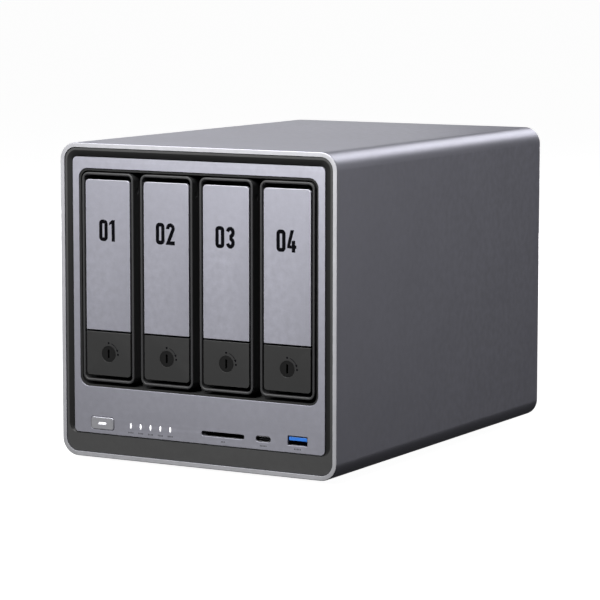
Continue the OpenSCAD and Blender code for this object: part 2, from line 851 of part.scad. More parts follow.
outer_shell();
front_bezel();
front_panel();
bay_surround();
drive_cage();
bay_guides();
backplane_board();
sata_connectors();
mainboard();
board_standoffs();
cpu_heatsink();
memory_module();
m2_connectors();
power_supply();
rear_panel();
rear_screws();
fan_frame();
fan_screws();
power_inlet();
hdmi_port();
lan_ports();
rear_usb_ports();
reset_switch();
front_io_board();
sd_card_socket();
usb_c_port();
usb_a_shell();
usb_a_tongue();
status_lights();
bottom_hatch();
hatch_screws();
feet();
power_button();
power_button_light();
reset_button();
fan_rotor();
filter_frame();
filter_mesh();
filter_magnets();
for (n = [1:BAYS]) {
    tray_frame(n);
    tray_handle(n);
    tray_handle_face(n);
    tray_latch(n);
    tray_lock(n);
}
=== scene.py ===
"""Looks of a desktop network storage enclosure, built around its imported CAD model.

Lengths are millimetres in the model's own frame: +X right, -Y front, +Z up.
"""
import math
from dataclasses import dataclass

import bmesh
import bpy
from mathutils import Matrix, Vector


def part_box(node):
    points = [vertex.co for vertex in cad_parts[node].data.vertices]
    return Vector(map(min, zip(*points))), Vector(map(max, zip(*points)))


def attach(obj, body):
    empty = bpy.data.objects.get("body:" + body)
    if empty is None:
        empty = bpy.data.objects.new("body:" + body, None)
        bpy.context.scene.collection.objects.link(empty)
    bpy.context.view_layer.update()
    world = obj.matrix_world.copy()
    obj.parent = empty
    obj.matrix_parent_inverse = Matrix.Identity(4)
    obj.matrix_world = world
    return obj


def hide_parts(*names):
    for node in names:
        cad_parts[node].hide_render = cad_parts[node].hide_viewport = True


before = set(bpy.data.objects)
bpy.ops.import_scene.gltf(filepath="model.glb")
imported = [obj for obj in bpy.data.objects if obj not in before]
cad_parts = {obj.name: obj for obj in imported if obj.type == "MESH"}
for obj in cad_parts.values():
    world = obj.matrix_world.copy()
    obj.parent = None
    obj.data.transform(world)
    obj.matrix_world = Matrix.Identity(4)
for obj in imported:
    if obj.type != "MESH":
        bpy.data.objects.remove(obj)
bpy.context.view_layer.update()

MM = 0.001
CORNER_STEPS = 12
ROUND_STEPS = 48
OVAL_STEPS = 24
EDGE_STEPS = 3
SHARP_ANGLE = math.radians(40)
LEAST_RADIUS = 0.05
PRINT_STANDS = 0.04
PRINT_SUNK = 0.2
PRINT_BEVEL = 0.01
BAYS = 4


# ---- Places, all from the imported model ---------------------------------

@dataclass
class Outline:
    """A rounded rectangle in X and Z."""

    left: float
    right: float
    bottom: float
    top: float
    radius: float
    low_radius: float | None = None

    def grown(self, by):
        low_radius = self.low_radius
        if low_radius is not None:
            low_radius = max(low_radius + by, LEAST_RADIUS)
        return Outline(self.left - by, self.right + by, self.bottom - by, self.top + by,
                       max(self.radius + by, LEAST_RADIUS), low_radius)

    def points(self):
        """(x, z) of the outline, counted round from its lower right corner."""
        high = self.radius
        low = high if self.low_radius is None else self.low_radius
        corners = [
            (self.right - low, self.bottom + low, low),
            (self.right - high, self.top - high, high),
            (self.left + high, self.top - high, high),
            (self.left + low, self.bottom + low, low),
        ]
        found = []
        for quarter, (x, z, r) in enumerate(corners):
            found += arc(x, z, r, r, 90 * quarter - 90, 90 * quarter, CORNER_STEPS)
        return found

    def loop(self, y):
        return [Vector((x, y, z)) for x, z in self.points()]


def arc(x, z, rx, rz, start, end, steps=8):
    """(x, z) along an elliptic arc, with its angles in degrees."""
    angles = [math.radians(start + (end - start) * i / steps) for i in range(steps + 1)]
    return [(x + rx * math.cos(a), z + rz * math.sin(a)) for a in angles]


def oval(x, z, rx, rz, steps=OVAL_STEPS):
    """(x, z) all round an ellipse."""
    return arc(x, z, rx, rz, 0, 360 - 360 / steps, steps - 1)


def circle(x, z, r, y):
    """Loop of points round a line along Y."""
    return [Vector((px, y, pz)) for px, pz in oval(x, z, r, r, ROUND_STEPS)]


def box(node):
    """(lowest corner, highest corner) of a CAD node."""
    low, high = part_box(node)
    return low / MM, high / MM


def outline_of(node, radius, grow=0.0):
    """The front outline of a CAD node."""
    low, high = box(node)
    return Outline(low.x, high.x, low.z, high.z, radius - grow).grown(grow)


# ---- Mesh tools --------------------------------------------------------

def crisp(obj):
    """Smooth shading that leaves flat faces flat and sharp edges sharp."""
    obj.data.set_sharp_from_angle(angle=SHARP_ANGLE)
    obj.modifiers.new("crisp_faces", "WEIGHTED_NORMAL").keep_sharp = True
    return obj


def mesh_object(name, bm):
    mesh = bpy.data.meshes.new(name)
    bm.to_mesh(mesh)
    bm.free()
    mesh.shade_smooth()
    obj = bpy.data.objects.new(name, mesh)
    bpy.context.scene.collection.objects.link(obj)
    return crisp(obj)


def skin(name, loops, closed=False, second=()):
    """Mesh through loops of equal length, capped at its ends or closed on itself.

    The bands numbered in second take material 2.
    """
    bm = bmesh.new()
    rows = [[bm.verts.new(p * MM) for p in loop] for loop in loops]
    pairs = list(zip(rows, rows[1:]))
    if closed:
        pairs.append((rows[-1], rows[0]))
    for band, (row, following) in enumerate(pairs):
        for i in range(len(row)):
            j = (i + 1) % len(row)
            face = bm.faces.new((row[i], row[j], following[j], following[i]))
            face.material_index = 1 if band in second else 0
    if not closed:
        for row in (rows[0], rows[-1]):
            bm.faces.new(row)
    bmesh.ops.recalc_face_normals(bm, faces=bm.faces)
    return mesh_object(name, bm)


def rounded_edge(shape, y, radius, behind=1, hole=False):
    """Loops that round the edge between a side and the face at depth y.

    behind is 1 where the solid lies behind that face, and -1 where it lies in front.
    """
    loops = []
    for i in range(EDGE_STEPS + 1):
        a = math.radians(90 * i / EDGE_STEPS)
        sunk = radius * (1 - math.sin(a))
        inset = radius * (1 - math.cos(a))
        loops.append(shape.grown(inset if hole else -inset).loop(y + behind * sunk))
    return loops


def plate(name, shape, y_front, y_back, edge):
    """Upright plate with a rounded front edge, which takes material 2."""
    loops = [shape.loop(y_back)] + rounded_edge(shape, y_front, edge)
    return skin(name, loops, second=range(1, len(loops)))


def cut_plate(name, outlines, y_front, y_back, bevel):
    """Upright plate between two depths, with an outline and any holes.

    All but its front and back faces take material 2.
    """
    curve = bpy.data.curves.new(name, "CURVE")
    curve.dimensions = "2D"
    curve.fill_mode = "BOTH"
    curve.bevel_depth = bevel * MM
    curve.extrude = (y_back - y_front) * MM / 2 - bevel * MM
    curve.offset = -bevel * MM
    curve.bevel_resolution = 0
    for outline in outlines:
        spline = curve.splines.new("POLY")
        spline.points.add(len(outline) - 1)
        for point, (x, z) in zip(spline.points, outline):
            point.co = (x * MM, z * MM, 0, 1)
        spline.use_cyclic_u = True
    holder = bpy.data.objects.new(name + "_curve", curve)
    mesh = bpy.data.meshes.new_from_object(holder)
    bpy.data.objects.remove(holder)
    middle = (y_front + y_back) / 2 * MM
    mesh.transform(Matrix.Translation((0, middle, 0)) @ Matrix.Rotation(math.pi / 2, 4, "X"))
    bm = bmesh.new()
    bm.from_mesh(mesh)
    bmesh.ops.remove_doubles(bm, verts=bm.verts, dist=MM / 1000)
    bmesh.ops.recalc_face_normals(bm, faces=bm.faces)
    nearly_flat = 0.95
    for face in bm.faces:
        face.material_index = 1 if abs(face.normal.y) < nearly_flat else 0
    return mesh_object(name, bm)


def film(name, outlines, y):
    """A printed mark, which stands out a little from the face at depth y."""
    return cut_plate(name, outlines, y - PRINT_STANDS, y + PRINT_SUNK, PRINT_BEVEL)


def block(low, high):
    """Plain box, used only to cut with."""
    bm = bmesh.new()
    bmesh.ops.create_cube(bm, size=1)
    centre = (Vector(low) + Vector(high)) / 2
    size = Vector(high) - Vector(low)
    bm.transform(Matrix.LocRotScale(centre * MM, None, size * MM))
    return mesh_object("cutter", bm)


def cut(obj, *cutters):
    """Cuts solids out of obj, and removes them."""
    for cutter in cutters:
        boolean = obj.modifiers.new("cut", "BOOLEAN")
        boolean.object = cutter
        boolean.solver = "EXACT"
    obj.modifiers.remove(obj.modifiers["crisp_faces"])
    graph = bpy.context.evaluated_depsgraph_get()
    obj.data = bpy.data.meshes.new_from_object(obj.evaluated_get(graph))
    obj.modifiers.clear()
    for cutter in cutters:
        bpy.data.objects.remove(cutter)
    crisp(obj)


def joined(name, objects):
    """One object out of several, which go."""
    bm = bmesh.new()
    for obj in objects:
        bm.from_mesh(obj.data)
        bpy.data.objects.remove(obj)
    return mesh_object(name, bm)


# ---- Materials ---------------------------------------------------------

def add(tree, kind, inputs=None, **settings):
    """A shader node with its settings, and a value or a link for each input."""
    node = tree.nodes.new("ShaderNode" + kind)
    for key, value in settings.items():
        setattr(node, key, value)
    for key, value in (inputs or {}).items():
        if isinstance(value, bpy.types.NodeSocket):
            tree.links.new(value, node.inputs[key])
        else:
            node.inputs[key].default_value = value
    return node


def spread(tree, value, low, high, start=0.3, end=0.7):
    """value's middle range, mapped from low to high."""
    settings = {"Value": value, "From Min": start, "From Max": end, "To Min": low, "To Max": high}
    return add(tree, "MapRange", settings).outputs["Result"]


def times(tree, a, b):
    return add(tree, "Math", {0: a, 1: b}, operation="MULTIPLY").outputs[0]


def noise(tree, vector, size):
    """Noise whose blobs are about size millimetres."""
    settings = {"Vector": vector, "Scale": 1 / (size * MM), "Detail": 2}
    return add(tree, "TexNoise", settings).outputs["Fac"]


DRIFT_SIZE = 45
EDGE_PATCH_SIZE = 4
EDGE_PALING = 0.2
EDGE_SHARPNESS = (0.51, 0.6)
BUMP_STRENGTH = 0.6


def surface(name, colour, roughness, metallic=0.0, drift=0.05, speckle=0.04, grain=0.5,
            relief=0.01, stretch=(1, 1, 1), emission=0.0, coat=0.0, shine=0.5, gloss_drift=0.05):
    """A finish with a slow drift of colour, a fine grain and paler edges.

    The grain is in colour, gloss and relief. grain and relief are millimetres, and stretch
    lengthens the grain along an axis.
    """
    material = bpy.data.materials.new(name)
    material.use_nodes = True
    tree = material.node_tree
    shader = tree.nodes["Principled BSDF"]
    here = add(tree, "TexCoord").outputs["Object"]
    along = add(tree, "Mapping", {"Vector": here, "Scale": [1 / s for s in stretch]}).outputs["Vector"]
    fine = noise(tree, along, grain)
    slow = noise(tree, here, DRIFT_SIZE)
    sharpness = add(tree, "NewGeometry").outputs["Pointiness"]
    # Sharp edges turn paler, in patches.
    paler_edges = spread(tree, sharpness, 0, EDGE_PALING, *EDGE_SHARPNESS)
    patchy = times(tree, paler_edges, spread(tree, noise(tree, here, EDGE_PATCH_SIZE), 0.3, 1))
    drifting = spread(tree, slow, 1 - drift, 1 + drift)
    grainy = spread(tree, fine, 1 - speckle, 1 + speckle)
    tone = times(tree, drifting, grainy)
    lifted = add(tree, "Math", {0: patchy, 1: 1.0}, operation="ADD").outputs[0]
    paint = add(tree, "HueSaturation", {"Value": times(tree, tone, lifted), "Color": (*colour, 1)})
    gloss = spread(tree, fine, roughness - gloss_drift, roughness + gloss_drift)
    bump = add(tree, "Bump", {"Height": fine, "Strength": BUMP_STRENGTH, "Distance": relief * MM})
    tree.links.new(paint.outputs["Color"], shader.inputs["Base Color"])
    tree.links.new(gloss, shader.inputs["Roughness"])
    tree.links.new(bump.outputs["Normal"], shader.inputs["Normal"])
    shader.inputs["Metallic"].default_value = metallic
    shader.inputs["Coat Weight"].default_value = coat
    shader.inputs["Specular IOR Level"].default_value = shine
    if emission:
        shader.inputs["Emission Color"].default_value = (1, 1, 1, 1)
        shader.inputs["Emission Strength"].default_value = emission
    return material


def paint_shade_inside(material, mouth, depth):
    """Paints shade into a rear socket's metal: darker from its mouth, at Y = mouth, to depth inside it.
    """
    darkest_shade = 0.03
    tree = material.node_tree
    here = add(tree, "TexCoord").outputs["Object"]
    y = add(tree, "SeparateXYZ", {"Vector": here}).outputs["Y"]
    painted_shade = spread(tree, y, darkest_shade, 1, (mouth - depth) * MM, mouth * MM)
    value = tree.nodes["Principled BSDF"].inputs["Base Color"].links[0].from_node.inputs["Value"]
    tree.links.new(times(tree, value.links[0].from_socket, painted_shade), value)


SATIN = {
    "metallic": 1, "drift": 0.02, "speckle": 0.025, "grain": 0.4, "relief": 0.004, "gloss_drift": 0.02,
}
shell_metal = surface("shell_aluminium", (0.46, 0.46, 0.53), 0.48, **SATIN)
rim_metal = surface("rim_aluminium", (0.475, 0.475, 0.495), 0.7, **SATIN)
panel_metal = surface("panel_aluminium", (0.62, 0.62, 0.70), 0.5, **SATIN)
# Painted shade: a darker copy of the panel aluminium for the panel's cut edges, which damps their
# highlights.
panel_edge_shaded_metal = surface("panel_edge_painted_shade", (0.30, 0.30, 0.34), 0.6, **SATIN)
cut_metal = surface("cut_edge_aluminium", (0.66, 0.66, 0.72), 0.6, **SATIN)
handle_metal = surface("handle_aluminium", (0.60, 0.60, 0.68), 0.5, **SATIN)
button_metal = surface("button_aluminium", (0.72, 0.72, 0.76), 0.5, **SATIN)
# Painted shade: a darker copy of the button aluminium for the edges and sides of the button's cap and
# flange.
button_edge_shaded_metal = surface("button_edge_painted_shade", (0.50, 0.50, 0.54), 0.6, **SATIN)
bezel_plastic = surface("bezel_plastic", (0.044, 0.044, 0.044), 0.6, grain=0.3, relief=0.02, shine=0.25)
# Painted shade: a darker copy of the bezel plastic, for the bezel's slope and groove.
slope_shaded_plastic = surface("bezel_slope_painted_shade", (0.008, 0.008, 0.008), 0.55, grain=0.3, shine=0.3)
lip_plastic = surface("window_lip_plastic", (0.017, 0.017, 0.017), 0.6, grain=0.3, shine=0.2)
tray_plastic = surface("tray_plastic", (0.026, 0.026, 0.027), 0.55, grain=0.3, relief=0.02)
latch_plastic = surface("latch_plastic", (0.020, 0.020, 0.020), 0.5, grain=0.3, relief=0.02)
lock_plastic = surface("lock_plastic", (0.006, 0.006, 0.006), 0.6, grain=0.3, shine=0.15)
black_ink = surface("black_ink", (0.001, 0.001, 0.002), 0.8, grain=0.3, shine=0.05)
label_ink = surface("label_ink", (0.07, 0.07, 0.08), 0.6, grain=0.3)
guide_plastic = surface("guide_plastic", (0.02, 0.02, 0.021), 0.5, grain=0.6, relief=0.03)
cage_steel = surface("cage_steel", (0.56, 0.57, 0.58), 0.38, metallic=1, drift=0.12, grain=1.2,
                     stretch=(1, 12, 1))
board_green = surface("circuit_board", (0.012, 0.10, 0.045), 0.35, drift=0.15, grain=1.5,
                      relief=0.04, coat=0.3)
socket_plastic = surface("socket_plastic", (0.016, 0.016, 0.017), 0.4, grain=0.4)
brass = surface("brass", (0.75, 0.56, 0.25), 0.3, metallic=1, grain=0.6, stretch=(8, 8, 1))
fin_metal = surface("heatsink_aluminium", (0.68, 0.68, 0.70), 0.35, metallic=1, grain=0.6,
                    stretch=(1, 20, 1))
rear_paint = surface("rear_painted_steel", (0.09, 0.09, 0.095), 0.5, grain=0.7, relief=0.06)
screw_steel = surface("screw_steel", (0.40, 0.40, 0.41), 0.3, metallic=1, grain=0.4)
fan_plastic = surface("fan_plastic", (0.018, 0.018, 0.019), 0.45, grain=0.5, relief=0.03)
socket_metal = surface("socket_metal", (0.62, 0.62, 0.64), 0.3, metallic=1, grain=0.8,
                       stretch=(8, 1, 1))
# Painted shade: the front USB ports' metal, made dark to stand for the shade inside the ports.
shaded_port_metal = surface("port_metal_painted_shade", (0.10, 0.10, 0.105), 0.4, metallic=1, grain=0.5)
usb_blue = surface("usb_blue", (0.03, 0.15, 0.52), 0.35, grain=0.4)
light_pipe = surface("light_pipe", (0.9, 0.9, 0.92), 0.3, emission=0.5)
reset_plastic = surface("reset_plastic", (0.15, 0.15, 0.15), 0.5)
foot_rubber = surface("foot_rubber", (0.015, 0.015, 0.015), 0.75, grain=0.6, relief=0.05)
filter_plastic = surface("filter_plastic", (0.025, 0.025, 0.026), 0.5, grain=0.5, relief=0.03)
filter_net = surface("filter_net", (0.018, 0.018, 0.018), 0.6, grain=0.3, relief=0.02)
magnet_metal = surface("magnet_metal", (0.16, 0.16, 0.17), 0.5, metallic=1)


# ---- CAD nodes that stay -----------------------------------------------

FLAT_ANGLE = math.radians(1)
EDGE_ANGLE = math.radians(35)
# How far into the rear sockets their painted shade reaches, in millimetres.
SOCKET_SHADE_DEPTH = 0.8


def dress(node, material, edge=0.2, steps=2, clamp=True):
    """Keeps a CAD node, rounds its edges and gives it a material."""
    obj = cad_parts[node]
    obj.data.materials.clear()
    obj.data.materials.append(material)
    weld = obj.modifiers.new("weld", "WELD")
    weld.merge_threshold = MM / 1000
    flat = obj.modifiers.new("flat_faces", "DECIMATE")
    flat.decimate_type = "DISSOLVE"
    flat.angle_limit = FLAT_ANGLE
    bevel = obj.modifiers.new("round_edges", "BEVEL")
    bevel.width = edge * MM
    bevel.segments = steps
    bevel.use_clamp_overlap = clamp
    bevel.limit_method = "ANGLE"
    bevel.angle_limit = EDGE_ANGLE
    obj.modifiers.new("crisp_faces", "WEIGHTED_NORMAL").keep_sharp = True


# Painted shade: the rear sockets' metal turns darker inside their mouths.
paint_shade_inside(socket_metal, box("lan_ports")[1].y, SOCKET_SHADE_DEPTH)
dress("bay_surround", lip_plastic, 0.25)
dress("drive_cage", cage_steel)
dress("bay_guides", guide_plastic)
dress("backplane_board", board_green, 0.1)
dress("sata_connectors", socket_plastic)
dress("mainboard", board_green, 0.1)
dress("board_standoffs", brass)
dress("cpu_heatsink", fin_metal)
dress("memory_module", board_green, 0.1)
dress("m2_connectors", socket_plastic)
dress("power_supply", cage_steel)
dress("rear_panel", rear_paint)
dress("rear_screws", screw_steel)
dress("fan_frame", fan_plastic, 0.4)
dress("fan_screws", screw_steel)
dress("power_inlet", socket_plastic, 0.3)
dress("hdmi_port", socket_metal, 0.1)
dress("lan_ports", socket_metal, 0.1)
dress("rear_usb_ports", socket_metal, 0.1)
dress("reset_switch", socket_plastic)
dress("front_io_board", board_green, 0.1)
dress("sd_card_socket", socket_plastic, 0.1)
# The front ports' metal carries painted shade.
dress("usb_c_port", shaded_port_metal, 0.1)
dress("usb_a_shell", shaded_port_metal, 0.1)
dress("usb_a_tongue", usb_blue, 0.15)
dress("bottom_hatch", rear_paint)
dress("hatch_screws", screw_steel)
dress("feet", foot_rubber, 0.5)
dress("reset_button", reset_plastic)
dress("filter_frame", filter_plastic, 0.4)
dress("filter_magnets", magnet_metal)
for n in range(1, BAYS + 1):
    dress(f"tray_{n}_frame", tray_plastic, 0.55, 4, clamp=False)
    dress(f"tray_{n}_handle", tray_plastic, 0.3)
    dress(f"tray_{n}_latch", latch_plastic, 0.3)
    dress(f"tray_{n}_lock", lock_plastic, 0.2)


def place(obj, body, slot, *materials, stands_for=()):
    """Gives a new piece its materials and its body, and hides the CAD nodes it stands for. slot is not
    used.
    """
    for material in materials:
        obj.data.materials.append(material)
    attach(obj, body)
    if stands_for:
        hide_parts(*stands_for)


# ---- Sleeve ------------------------------------------------------------

SHELL_RADIUS = 10
SHELL_EDGE = 0.45
SHELL_INNER_EDGE = 0.15
BEZEL_PLAY = 0.05
HATCH_LEDGE = 6
HATCH_PLAY = 0.15
CUT_PAST = 5
shell_low, shell_high = box("outer_shell")
shell_outline = outline_of("outer_shell", SHELL_RADIUS)
shell_inside = outline_of("front_bezel", 0, BEZEL_PLAY)
shell_inside.radius = SHELL_RADIUS - (shell_inside.left - shell_outline.left)


def build_sleeve():
    """The sleeve, whose front face takes the rim's material, with the seat and opening of its hatch."""
    outer_back = rounded_edge(shell_outline, shell_high.y, SHELL_EDGE, behind=-1)
    outer_front = rounded_edge(shell_outline, shell_low.y, SHELL_EDGE)
    inner_front = rounded_edge(shell_inside, shell_low.y, SHELL_INNER_EDGE, hole=True)
    inner_back = rounded_edge(shell_inside, shell_high.y, SHELL_INNER_EDGE, behind=-1, hole=True)
    loops = outer_front + inner_front[::-1] + inner_back + outer_back[::-1]
    rim_bands = range(len(outer_front) - 2, len(outer_front) + 2)
    sleeve = skin("sleeve", loops, closed=True, second=rim_bands)
    low, high = box("bottom_hatch")
    play = Vector((HATCH_PLAY, HATCH_PLAY, 0))
    inset = Vector((HATCH_LEDGE, HATCH_LEDGE, 0)) - play
    past = Vector((0, 0, CUT_PAST))
    seat = block(low - play - past, high + play)
    opening = block(low + inset - past, high - inset + past)
    cut(sleeve, seat, opening)
    place(sleeve, "enclosure", "shell_aluminium", shell_metal, rim_metal, stands_for=["outer_shell"])


build_sleeve()


# ---- Bezel -------------------------------------------------------------

PANEL_RADIUS = 2.75
PANEL_PLAY = 0.05
WINDOW_RADIUS = 5.55
WINDOW_HIGHER = 0.2
FLAT_STRIP = 1.6
SLOPE_DEPTH = 1.8
LOW_SLOPE_GAP = 0.6
SEAT_GAP = 0.45
LOW_SEAT_GAP = 0.15
BREAK_GAP = 0.1
BREAK_AT = 0.35
panel_outline = outline_of("front_panel", PANEL_RADIUS)
window_outline = outline_of("bay_surround", WINDOW_RADIUS, PANEL_PLAY)
window_outline.top += WINDOW_HIGHER


def build_bezel():
    """A flat strip, then a slope that steepens down to a groove round the panel. The slope and the
    groove take a darker copy of the bezel plastic, as painted shade.
    """
    low, high = box("front_bezel")
    edge_w = 0.25
    edge_d = 0.3
    outside = outline_of("front_bezel", shell_inside.radius - BEZEL_PLAY)
    slope = outside.grown(-FLAT_STRIP)
    slope.bottom = panel_outline.bottom - LOW_SLOPE_GAP
    seat = panel_outline.grown(SEAT_GAP)
    seat.bottom = panel_outline.bottom - LOW_SEAT_GAP
    panel_back = box("front_panel")[1].y
    tight = panel_outline.grown(PANEL_PLAY)
    loops = [
        outside.loop(high.y),
        outside.loop(low.y + edge_d),
        outside.grown(-edge_w).loop(low.y),
        slope.loop(low.y),
        seat.grown(BREAK_GAP).loop(low.y + BREAK_AT * SLOPE_DEPTH),
        seat.loop(low.y + SLOPE_DEPTH),
        tight.loop(low.y + SLOPE_DEPTH),
        tight.loop(panel_back),
        window_outline.loop(panel_back),
        window_outline.loop(high.y),
    ]
    # Bands 3 to 6, the slope and the groove, take the painted shade.
    bezel = skin("bezel", loops, closed=True, second=range(3, 7))
    board_low, board_high = box("front_io_board")
    board_space = block((board_low.x - 1, panel_back - 0.5, board_low.z),
                        (board_high.x + 1, high.y + 1, board_high.z))
    cut(bezel, board_space)
    place(bezel, "enclosure", "bezel_plastic", bezel_plastic, slope_shaded_plastic, stands_for=["front_bezel"])


build_bezel()


# ---- Panel and what shows in it ----------------------------------------

LIGHT_COUNT = 5
LIGHT_WIDTH = 1.1
CUT_EDGE = 0.15
BUTTON_RADIUS = 1.5
BUTTON_FLANGE = 1
BUTTON_GAP = 0.3
USB_A_NARROWER = 0.175
# The corner radius of each socket's own outline, and how far the panel's hole lies outside it.
SOCKET_HOLES = {
    "sd_card_socket": (2.15, -0.85),
    "usb_c_port": (1.45, 0.15),
    "usb_a_shell": (0.7, -0.3),
}
button_outline = outline_of("power_button", BUTTON_RADIUS + BUTTON_FLANGE).grown(-BUTTON_FLANGE)


def light_leaves(grow=0.0):
    """Tall ellipses of the status lights, from left to right."""
    low, high = box("status_lights")
    step = (high.x - low.x - LIGHT_WIDTH) / (LIGHT_COUNT - 1)
    middles = [low.x + LIGHT_WIDTH / 2 + i * step for i in range(LIGHT_COUNT)]
    rx, rz = LIGHT_WIDTH / 2 + grow, (high.z - low.z) / 2 + grow
    return [oval(x, (low.z + high.z) / 2, rx, rz) for x in middles]


def build_panel():
    """The panel, with its window and a hole for the button, each socket and each light."""
    low, high = box("front_panel")
    sockets = {node: outline_of(node, radius).grown(by) for node, (radius, by) in SOCKET_HOLES.items()}
    sockets["usb_a_shell"].left += USB_A_NARROWER
    sockets["usb_a_shell"].right -= USB_A_NARROWER
    shapes = [panel_outline, window_outline, button_outline.grown(BUTTON_GAP), *sockets.values()]
    outlines = [shape.points() for shape in shapes] + light_leaves(PANEL_PLAY)
    panel = cut_plate("panel", outlines, low.y, high.y, CUT_EDGE)
    # The sides and cut edges round the outline and every hole take the painted shade.
    place(panel, "enclosure", "panel_aluminium", panel_metal, panel_edge_shaded_metal,
          stands_for=["front_panel"])


def build_labels():
    """Rows of short bars under the lights and the sockets, in place of their labels."""
    bar_w = 0.55
    bar_h = 0.8
    bar_step = 0.9
    below_lights = 2.7
    light_bars = 4
    panel_low, _ = box("front_panel")
    z = box("status_lights")[0].z - below_lights
    labels = [(sum(x for x, _ in leaf) / len(leaf), light_bars) for leaf in light_leaves()]
    for node, bars in [("sd_card_socket", 3), ("usb_c_port", 5), ("usb_a_shell", 5)]:
        low, high = box(node)
        labels.append(((low.x + high.x) / 2, bars))
    parts = []
    for middle, bars in labels:
        for i in range(bars):
            left = middle + (i - (bars - 1) / 2) * bar_step - bar_w / 2
            bar = Outline(left, left + bar_w, z, z + bar_h, 0.1)
            parts.append(film("label", [bar.points()], panel_low.y))
    place(joined("labels", parts), "enclosure", "bezel_plastic", label_ink)


def build_status_lights():
    low, high = box("status_lights")
    pipes = [cut_plate("pipe", [leaf], low.y, high.y, 0.1) for leaf in light_leaves()]
    place(joined("light_pipes", pipes), "enclosure", "light_pipe", light_pipe, light_pipe,
          stands_for=["status_lights"])


def build_power_button():
    """Cap with a hole for its light, a flange behind the panel and a stem to the switch."""
    low, high = box("power_button")
    flange_front = box("front_panel")[1].y + PANEL_PLAY
    flange_t = 1
    lens = outline_of("power_button_light", 0.45)
    lens_low, lens_high = box("power_button_light")
    cap_outlines = [button_outline.points(), lens.grown(PANEL_PLAY).points()]
    cap = cut_plate("cap", cap_outlines, low.y, flange_front, 0.2)
    flange = plate("flange", outline_of("power_button", 1), flange_front, flange_front + flange_t, 0.1)
    x, z = (low.x + high.x) / 2, (low.z + high.z) / 2
    stem_r = 2
    chamfer = 0.3
    stem = skin("stem", [
        circle(x, z, stem_r, flange_front),
        circle(x, z, stem_r, high.y - chamfer),
        circle(x, z, stem_r - chamfer, high.y),
    ])
    # The cap's sides and edges and the flange's rounded edge take the painted shade.
    place(joined("power_button_cap", [cap, flange, stem]), "power_key", "button_metal",
          button_metal, button_edge_shaded_metal, stands_for=["power_button"])
    light = plate("power_light_pipe", lens, lens_low.y + PANEL_PLAY, lens_high.y, 0.1)
    place(light, "power_key", "light_pipe", light_pipe, light_pipe, stands_for=["power_button_light"])


build_panel()
build_labels()
build_status_lights()
build_power_button()


# ---- Tray fronts -------------------------------------------------------

FACE_RADIUS = 2
SEAM_RADIUS = 0.3


def build_handle_face(n):
    low, high = box(f"tray_{n}_handle_face")
    shape = Outline(low.x, high.x, low.z, high.z, FACE_RADIUS, SEAM_RADIUS)
    face = plate(f"tray_{n}_face", shape, low.y, high.y, CUT_EDGE)
    place(face, f"tray_{n}_lever", "handle_aluminium", handle_metal, cut_metal,
          stands_for=[f"tray_{n}_handle_face"])


for n in range(1, BAYS + 1):
    build_handle_face(n)


# ---- Numbers and marks -------------------------------------------------

DIGIT_HEIGHT = 12.1
DIGIT_WIDTH = 5.7
DIGIT_GAP = 1.0
STROKE = 2.15
DIGITS_ABOVE_SEAM = 50.35
DIGITS_ASIDE = -0.5
LOCK_MIDDLE = 4.55


def ribbon(path, width):
    """Closed outline round a line that has no sharp turns."""
    left, right = [], []
    for i, (x, z) in enumerate(path):
        before = Vector(path[max(i - 1, 0)])
        after = Vector(path[min(i + 1, len(path) - 1)])
        here = Vector((x, z))
        first = (here - before).normalized() if i else (after - here).normalized()
        last = (after - here).normalized() if i < len(path) - 1 else first
        normal = Vector((-(first + last).y, (first + last).x)).normalized()
        reach = width / 2 / max(normal.dot(Vector((-last.y, last.x))), 0.3)
        left.append(tuple(here + normal * reach))
        right.append(tuple(here - normal * reach))
    return left + right[::-1]


def digit_outlines(digit):
    """Outlines of a condensed digit in a cell that starts at the origin, and its width."""
    w, h, s = DIGIT_WIDTH, DIGIT_HEIGHT, STROKE
    half = s / 2
    mid = w / 2
    if digit == 0:
        ring = Outline(0, w, 0, h, 2.3)
        return [ring.points(), ring.grown(-s).points()], w
    if digit == 1:
        right = s + 1.6
        return [[(1.6, 0), (right, 0), (right, h), (1.9, h), (0, 10.5), (0, 9.0), (1.6, 10)]], right
    if digit == 2:
        top = arc(mid, h - half - 1.9, mid - half, 1.9, 190, -15)
        return [ribbon(top + [(1.25, half), (w, half)], s)], w
    if digit == 3:
        upper = arc(mid, 8.9, mid - half, h - half - 8.9, 170, -75)
        lower = arc(mid, 3.2, mid - half, 3.2 - half, 75, -170)
        return [ribbon(upper + lower, s)], w
    post = w - 0.7 - s
    bar, bar_top = 2.1, 3.8
    foot = [(post, 0), (post + s, 0), (post + s, bar), (w, bar), (w, bar_top),
            (post + s, bar_top), (post + s, 6.4), (post, 6.4)]
    slant = [(post, bar_top), (s - 0.25, bar_top), (w - 1.4, h), (w - 1.4 - s, h),
             (0, bar_top), (0, bar), (post, bar)]
    return [foot + slant], w


def build_number(n):
    low, high = box(f"tray_{n}_handle_face")
    shapes = [digit_outlines(0), digit_outlines(n)]
    total = sum(width for _, width in shapes) + DIGIT_GAP
    x = (low.x + high.x - total) / 2 + DIGITS_ASIDE
    z = low.z + DIGITS_ABOVE_SEAM
    parts = []
    for outlines, width in shapes:
        moved = [[(x + px, z + pz) for px, pz in outline] for outline in outlines]
        parts.append(film("digit", moved, low.y))
        x += width + DIGIT_GAP
    place(joined(f"tray_{n}_number", parts), f"tray_{n}_lever", "lock_plastic", black_ink)


